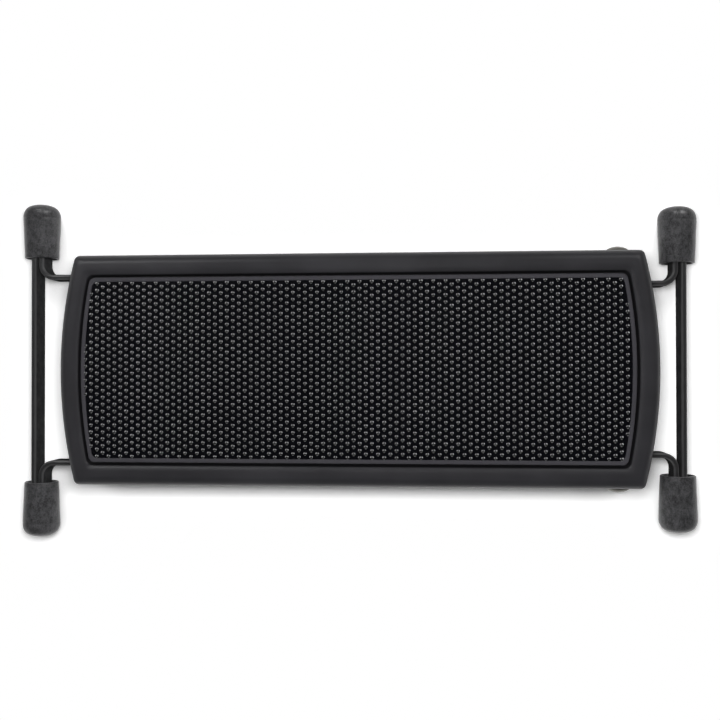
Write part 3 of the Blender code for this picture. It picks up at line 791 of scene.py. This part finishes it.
class FOOTREST_OT_tread_domes(bpy.types.Operator):
    """Scatter the mat's small domes in a staggered lattice inside its border"""
    bl_idname = "footrest.tread_domes"
    bl_label = "Tread domes"

    def execute(self, context):
        mat = settings().mat
        inner = MAT_INSET + mat.border
        half_length = HALF_LENGTH - inner + mat.overlap
        half_width = HALF_WIDTH - inner
        values = {
            "Pitch": mat.pitch, "Column pitch": mat.column_pitch,
            "Rows": 2 * math.ceil(half_width / mat.pitch) + 3,
            "Columns": 2 * math.ceil(half_length / mat.column_pitch / 2) + 3,
            "Middle": MIDDLE + mat.shift, "Deck middle": MIDDLE, "Height": MAT_LOW.z + mat.base,
            "Half length": half_length, "Half width": half_width, "Bow": mat.bow,
            "Dome radius": mat.dome_radius, "Dome height": mat.dome_height,
            "Size spread": mat.size_spread, "Seed": mat.seed}
        group = dome_tree(values)
        carrier = bpy.data.objects.new("tread_domes", bpy.data.meshes.new("carrier"))
        context.scene.collection.objects.link(carrier)
        modifier = carrier.modifiers.new("domes", "NODES")
        modifier.node_group = group
        for item in group.interface.items_tree:
            if item.in_out == "INPUT":
                modifier[item.identifier] = values[item.name]
        context.view_layer.update()
        graph = context.evaluated_depsgraph_get()
        mesh = bpy.data.meshes.new_from_object(carrier.evaluated_get(graph))
        bpy.data.objects.remove(carrier, do_unlink=True)
        if len(mesh.polygons) == 0:
            raise RuntimeError("the dome lattice came out empty")
        new_piece("tread_domes", mesh, "deck", "mat_rubber", finish="dome_rubber")
        return {"FINISHED"}


# Strip frames and feet

def strip_section():
    """Corners of the strip's rounded section as (across share, up share) of its half sizes."""
    frames = settings().frames
    low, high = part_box("outer_frame")
    half_x, half_z, curve = frames.thickness / 2, (high.z - low.z) / 2, frames.edge_round
    points = []
    for sign_x, sign_z, start in ((1, 1, 0), (-1, 1, 1), (-1, -1, 2), (1, -1, 3)):
        centre = (sign_x * (half_x - curve), sign_z * (half_z - curve))
        points += arc(centre, curve, QUARTER * start, QUARTER * (start + 1), 5)
    return [(x, z / half_z) for x, z in points]


def bend_stations(centre, radius, start, end, half_height, steps):
    """Stations round a bend of the strip: place, heading and half height."""
    ahead = math.copysign(QUARTER, end - start)
    return [((x, y), start + (end - start) * i / steps + ahead, half_height)
            for i, (x, y) in enumerate(arc(centre, radius, start, end, steps))]


def frame_stations(node, leg_y):
    """Half of a frame with its feet towards +X, from the leg's eye to the cross bar."""
    frames = settings().frames
    low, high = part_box(node)
    half = frames.thickness / 2
    half_height = (high.z - low.z) / 2
    hairpin_radius = frames.hairpin_gap / 2 + half
    reach = max(high.x, -low.x) - hairpin_radius - half
    eye = min(high.x, -low.x) - half_height
    start = math.asin(frames.eye_flat / half_height)
    stations = []
    for across, up in arc((0, 0), half_height, start, QUARTER, 16):
        stations.append(((-eye - across, leg_y), 0, up))
    bend = frames.bend + half
    turn = (reach - hairpin_radius - bend, leg_y + bend)
    stations += bend_stations(turn, bend, -QUARTER, 0, half_height, 20)
    hairpin = (reach, high.y - half - hairpin_radius)
    stations += bend_stations(hairpin, hairpin_radius, math.pi, 0, half_height, 16)
    return stations


def strip_mesh(name, node, leg_y, feet_side):
    """Run the strip's section along half a frame and its mirror image."""
    low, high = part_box(node)
    middle_z = (low.z + high.z) / 2
    section = strip_section()
    rings = []
    for (x, y), heading, half_height in frame_stations(node, leg_y):
        across = Vector((-math.sin(heading), math.cos(heading)))
        rings.append([(feet_side * (x + offset * across.x), y + offset * across.y,
                       middle_z + share * half_height) for offset, share in section])
    rings += [[(x, -y, z) for x, y, z in ring] for ring in reversed(rings)]
    return smooth(mesh_of_rings(name, rings, cap_first=True, cap_last=True), 40)


class FOOTREST_OT_strip_frames(bpy.types.Operator):
    """Bend the two leg frames from flat strip with rounded edges"""
    bl_idname = "footrest.strip_frames"
    bl_label = "Strip frames"

    def execute(self, context):
        frames = settings().frames
        for kind, leg_y, feet_side in (("outer", frames.outer_leg, -1), ("inner", frames.inner_leg, 1)):
            mesh = strip_mesh(f"{kind}_strip", f"{kind}_frame", leg_y, feet_side)
            new_piece(f"{kind}_strip", mesh, f"{kind}_legs", "strip_paint", f"{kind}_frame")
        return {"FINISHED"}


def foot_profile(length_along):
    """Half section of a foot: dome, crease, tapered side, rounded mouth and round bore."""
    feet = settings().feet
    low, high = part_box("outer_foot_back")
    radius = (high.z - low.z) / 2
    mouth = radius - feet.swell
    bore = mouth - feet.wall
    base = length_along - feet.dome
    power = 2 / feet.squareness
    profile = [(0, length_along)]
    for angle in quarter_turn(15)[1:-1]:
        profile.append((radius * math.sin(angle) ** power, base + feet.dome * math.cos(angle) ** power))
    band, chamfer = 0.0005, 0.0001
    profile += [(radius, base + band * 0.6), (radius - feet.crease, base), (radius, base - band * 0.6)]
    side = base - band
    for i in range(1, 9):
        profile.append((radius - feet.swell * i / 8, side - (side - feet.lip) * i / 8))
    profile += [(mouth - feet.lip * (1 - math.cos(angle)), feet.lip * (1 - math.sin(angle)))
                for angle in quarter_turn(4)[1:]]
    profile += [(bore + chamfer * 0.8, 0), (bore, chamfer),
                (bore, length_along - feet.floor), (0, length_along - feet.floor)]
    return profile


class FOOTREST_OT_feet(bpy.types.Operator):
    """Mould the four rubber feet with their worn, slightly uneven sides"""
    bl_idname = "footrest.feet"
    bl_label = "Rubber feet"

    def execute(self, context):
        feet = settings().feet
        lump_size, inwards = 0.006, 0.6
        for frame_name in ("outer", "inner"):
            for side_name, side in SIDES:
                node = f"{frame_name}_foot_{side_name}"
                low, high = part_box(node)
                axis = axis_at(low, high, low.y if side > 0 else high.y)
                mesh = turned(node, foot_profile(high.y - low.y), axis, side, 72)
                for vertex in mesh.vertices:
                    outwards = Vector((vertex.co.x - axis.x, 0, vertex.co.z - axis.z))
                    if outwards.length > (high.z - low.z) / 2 - feet.swell - feet.wall / 2:
                        lump = noise.noise(vertex.co / lump_size) - inwards
                        vertex.co += outwards.normalized() * feet.unevenness * lump
                new_piece(f"{frame_name}_boot_{side_name}", smooth(mesh, 50), f"{frame_name}_legs",
                          "foot_rubber", node)
        return {"FINISHED"}


# Rivets and hidden steel

def rivet_profile(node, head_height, rim):
    """Half section of a rivet, outer end first: domed head with a turned centre, shank, riveted end."""
    low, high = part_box(node)
    head = (high.z - low.z) / 2
    end = head_height - (high.y - low.y)
    tail_radius, tail_height = head * 0.74, 0.0012  # the riveted end
    dimple, chamfer, edge, dish = 0.00025, 0.0002, 0.0004, 0.0003
    profile = [(0, head_height - dimple), (head * 0.16, head_height - dimple * 0.8),
               (head * 0.22, head_height)]
    profile += [(head * math.sin(angle), rim + (head_height - rim) * math.cos(angle))
                for angle in quarter_turn(12)[3:]]
    profile += [(head, chamfer), (head - chamfer, 0), (SHANK_RADIUS, 0), (SHANK_RADIUS, end + tail_height),
                (tail_radius - chamfer, end + tail_height), (tail_radius, end + tail_height - chamfer),
                (tail_radius, end + edge), (tail_radius - edge * 0.7, end + chamfer / 2),
                (SHANK_RADIUS * 0.8, end), (SHANK_RADIUS * 0.5, end + dish), (0, end + dish)]
    return profile


class FOOTREST_OT_rivets(bpy.types.Operator):
    """Turn the domed pivot rivets on the deck's sides and the rivets where the frames cross"""
    bl_idname = "footrest.rivets"
    bl_label = "Rivets"

    def execute(self, context):
        rivets = settings().rivets
        kinds = (("pivot_rivet", "deck", rivets.pivot_head, rivets.pivot_rim),
                 ("centre_rivet", "outer_legs", rivets.centre_head, rivets.pivot_rim))
        for kind, body, head_height, rim in kinds:
            for side_name, side in SIDES:
                node = f"{kind}_{side_name}"
                low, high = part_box(node)
                outer_y = high.y if side > 0 else low.y
                axis = axis_at(low, high, outer_y - side * head_height)
                mesh = turned(node, rivet_profile(node, head_height, rim), axis, side)
                new_piece(f"{kind}_head_{side_name}", smooth(mesh, 40), body, "dark_rivet", node)
        return {"FINISHED"}


class FOOTREST_OT_hidden_steel(bpy.types.Operator):
    """Give the spacers, washers, latch rod and notched racks their finishes"""
    bl_idname = "footrest.hidden_steel"
    bl_label = "Hidden steel"

    def execute(self, context):
        finishes = {"pivot_spacer": "plated_steel", "centre_washer": "plated_steel",
                    "backing_washer": "plated_steel", "notch_rack": "strip_paint", "latch_rod": "rod_steel"}
        for node, piece in frame["nodes"].items():
            for kind, finish in finishes.items():
                if node.startswith(kind):
                    piece.data.materials.clear()
                    piece.data.materials.append(finish_named(finish))
        return {"FINISHED"}


# Stage

WORLD_OVERHEAD, WORLD_HORIZON = 0.05, 0.35
FLOOR_REACH = 30
FLOOR_GLOW = 0.34
PAINTED_SHADOW_OPEN = (0.50, 0.68)  # openness where the painted shadow on the floor gives way: where the floor starts to shine and where it shines in full
CLEAR_FROM = 0.975  # openness where the floor starts to let the camera through
SHADOW_REACH = (0.172, 0.092)  # past these X and Y the floor lets the camera through
FADE = 0.02
KEY_LEAN = math.radians(40)  # how far to the back, towards the key, openness is felt, so the painted shadow reaches further in front
KEY_POWER, KEY_RADIUS = 34, 0.072
KEY_PLACE = (0.030, 0.044, 0.420)
PANELS = (  # name, degrees round from +X, rise, watts, width, height and the group that it glosses
    ("left_wall", 146, 0.58, 22, 0.80, 0.60, "dome"),
    ("right_wall", 34, 0.58, 25, 0.80, 0.60, "dome"),
    ("front_wall", 270, 0.66, 6, 0.70, 0.50, "dome"),
    ("left_softbox", 99, 0.62, 3.0, 0.20, 0.20, "boot"),
    ("right_softbox", 56, 0.58, 5.0, 0.26, 0.24, "boot"),
    ("left_panel", 138, 1.10, 2.3, 0.30, 0.30, "deck"),
    ("right_panel", 48, 1.10, 1.3, 0.30, 0.30, "deck"),
)
CAMERA_PLACE = (0.0417, -0.00055, 0.4755)
CAMERA_TURN = (0.0110, 0.0802, -0.0012)
CAMERA_LENS = 48.63


def ray_kinds(tree, *kinds):
    """One wire for each kind of ray named, 1 where the ray is of that kind."""
    rays = tree.tree.nodes.new("ShaderNodeLightPath")
    return [Wire(tree, rays.outputs[f"Is {kind} Ray"]) for kind in kinds]


def gloss_group(name):
    """Which group of gloss lamps lights a piece."""
    if name == "tread_domes":
        return "dome"
    return "boot" if "_boot_" in name else "deck"


def make_floor_paint():
    """Pale floor paint that stays white to the camera and keeps the lamp's shadow, with a painted shadow
    where its emitted white dims near the footrest.

    Far floor melts into the white backdrop, and from below the floor hides nothing.
    """
    finish = Finish("floor_paint")
    camera, glossy, shadow = ray_kinds(finish, "Camera", "Glossy", "Shadow")
    towards_key = finish.vector(0.0, math.sin(KEY_LEAN), math.cos(KEY_LEAN))
    openness = finish.openness(0.018, 16, Normal=towards_key)
    # painted shadow: the floor's emitted white fades where the footrest closes in, leaned towards the key
    glow_with_painted_shadow = camera.larger(glossy) * FLOOR_GLOW * openness.share(*PAINTED_SHADOW_OPEN)
    finish.dress(Base_Color=(0.92, 0.92, 0.92, 1), Roughness=0.9, Specular_IOR_Level=0,
                 Emission_Color=finish.node("ShaderNodeCombineColor", {}, {0: glow_with_painted_shadow, 1: glow_with_painted_shadow, 2: glow_with_painted_shadow}),
                 Emission_Strength=1)
    x, y, _ = finish.axes(finish.place)
    outside = (abs(x) - SHADOW_REACH[0]).larger(abs(y) - SHADOW_REACH[1])
    far = (outside / FADE).larger((openness - CLEAR_FROM) / FADE).clamp(0, 1)
    below = finish.node("ShaderNodeNewGeometry", output="Backfacing")
    clear = finish.node("ShaderNodeBsdfTransparent")
    painted = Wire(finish, finish.shader.outputs[0])
    through = camera * far * (1 - below) + below * camera.larger(shadow)
    blend = finish.node("ShaderNodeMixShader", {}, {0: through, 1: painted, 2: clear})
    finish.feed(finish.tree.nodes["Material Output"].inputs["Surface"], blend)
    return finish.material


class FOOTREST_OT_stage(bpy.types.Operator):
    """Set up the pale floor, soft light and the camera above the footrest"""
    bl_idname = "footrest.stage"
    bl_label = "Stage"

    def execute(self, context):
        self.make_world(context)
        self.make_floor()
        self.make_lamps()
        self.make_camera(context)
        context.scene.view_settings.view_transform = "Standard"
        return {"FINISHED"}

    def make_world(self, context):
        """White to the camera, and a soft light that is stronger near the horizon."""
        world = bpy.data.worlds.new("studio")
        world.use_nodes = True
        context.scene.world = world
        tree = Tree(world.node_tree)
        background = world.node_tree.nodes["Background"]
        background.inputs["Color"].default_value = (1, 1, 1, 1)
        low = 1 - tree.axes(tree.node("ShaderNodeTexCoord", output="Generated"))[2].clamp(0, 1)
        seen = ray_kinds(tree, "Camera")[0]
        light = WORLD_OVERHEAD + WORLD_HORIZON * low ** 2
        tree.feed(background.inputs["Strength"], seen + (1 - seen) * light)

    def make_floor(self):
        """A wide pale floor under the feet."""
        mesh = bpy.data.meshes.new("floor")
        corners = [(x * FLOOR_REACH, y * FLOOR_REACH, 0) for x, y in ((-1, -1), (1, -1), (1, 1), (-1, 1))]
        mesh.from_pydata(corners, [], [(0, 1, 2, 3)])
        floor = bpy.data.objects.new("floor", mesh)
        bpy.context.scene.collection.objects.link(floor)
        mesh.materials.append(make_floor_paint())

    def make_lamps(self):
        """A soft round key above the footrest, and low side panels that only gloss sees."""
        key = self.new_lamp("key", "POINT", KEY_POWER)
        key.data.shadow_soft_size = KEY_RADIUS
        key.location = KEY_PLACE
        key.visible_glossy = False
        key.data.use_nodes = True
        tree = Tree(key.data.node_tree)
        tree.feed(tree.tree.nodes["Emission"].inputs["Strength"],
                  tree.node("ShaderNodeLightFalloff", {}, {"Strength": 1.0}, output="Constant"))
        groups = {kind: bpy.data.collections.new(f"{kind}_gloss") for kind in ("dome", "boot", "deck")}
        for piece in bpy.context.scene.objects:
            if piece.type == "MESH":
                groups[gloss_group(piece.name)].objects.link(piece)
        for name, turn, rise, power, wide, tall, kind in PANELS:
            panel = self.new_lamp(name, "AREA", power)
            panel.data.shape = "RECTANGLE"
            panel.data.size = wide
            panel.data.size_y = tall
            turn = math.radians(turn)
            panel.location = Vector((math.cos(turn), math.sin(turn), rise)).normalized()
            panel.rotation_euler = panel.location.to_track_quat("Z", "Y").to_euler()
            panel.visible_diffuse = False
            panel.light_linking.receiver_collection = groups[kind]

    def new_lamp(self, name, kind, power):
        """A lamp linked to the scene, which the camera doesn't see."""
        data = bpy.data.lights.new(name, kind)
        data.energy = power
        lamp = bpy.data.objects.new(name, data)
        bpy.context.scene.collection.objects.link(lamp)
        lamp.visible_camera = False
        return lamp

    def make_camera(self, context):
        """The photograph's view: from above, a little right of the middle and turned back to it."""
        data = bpy.data.cameras.new("camera")
        data.lens = CAMERA_LENS
        data.sensor_width = 36
        data.clip_start = 0.01
        data.clip_end = 100
        camera = bpy.data.objects.new("camera", data)
        camera.location = CAMERA_PLACE
        camera.rotation_euler = CAMERA_TURN
        context.scene.collection.objects.link(camera)
        context.scene.camera = camera


class FOOTREST_PT_panel(bpy.types.Panel):
    """Lists the footrest's pieces in the sidebar"""
    bl_idname = "FOOTREST_PT_panel"
    bl_label = "Guitar footrest"
    bl_space_type = "VIEW_3D"
    bl_region_type = "UI"
    bl_category = "Footrest"

    def draw(self, context):
        for operator in OPERATORS:
            self.layout.operator(operator.bl_idname)


GROUPS = (DeckSettings, MatSettings, FrameSettings, FootSettings, RivetSettings, FinishSettings,
          FootrestSettings)
OPERATORS = (FOOTREST_OT_deck_pan, FOOTREST_OT_tread_mat, FOOTREST_OT_tread_domes, FOOTREST_OT_strip_frames,
             FOOTREST_OT_feet, FOOTREST_OT_rivets, FOOTREST_OT_hidden_steel, FOOTREST_OT_stage)


def register():
    """Register the classes and the scene's settings."""
    for cls in GROUPS + OPERATORS + (FOOTREST_PT_panel,):
        bpy.utils.register_class(cls)
    bpy.types.Scene.footrest = PointerProperty(type=FootrestSettings)


def unregister():
    """Take them away again."""
    del bpy.types.Scene.footrest
    for cls in reversed(GROUPS + OPERATORS + (FOOTREST_PT_panel,)):
        bpy.utils.unregister_class(cls)


def main():
    """Build every piece."""
    register()
    bpy.ops.footrest.deck_pan()
    bpy.ops.footrest.tread_mat()
    bpy.ops.footrest.tread_domes()
    bpy.ops.footrest.strip_frames()
    bpy.ops.footrest.feet()
    bpy.ops.footrest.rivets()
    bpy.ops.footrest.hidden_steel()
    bpy.ops.footrest.stage()


if __name__ == "__main__":
    main()
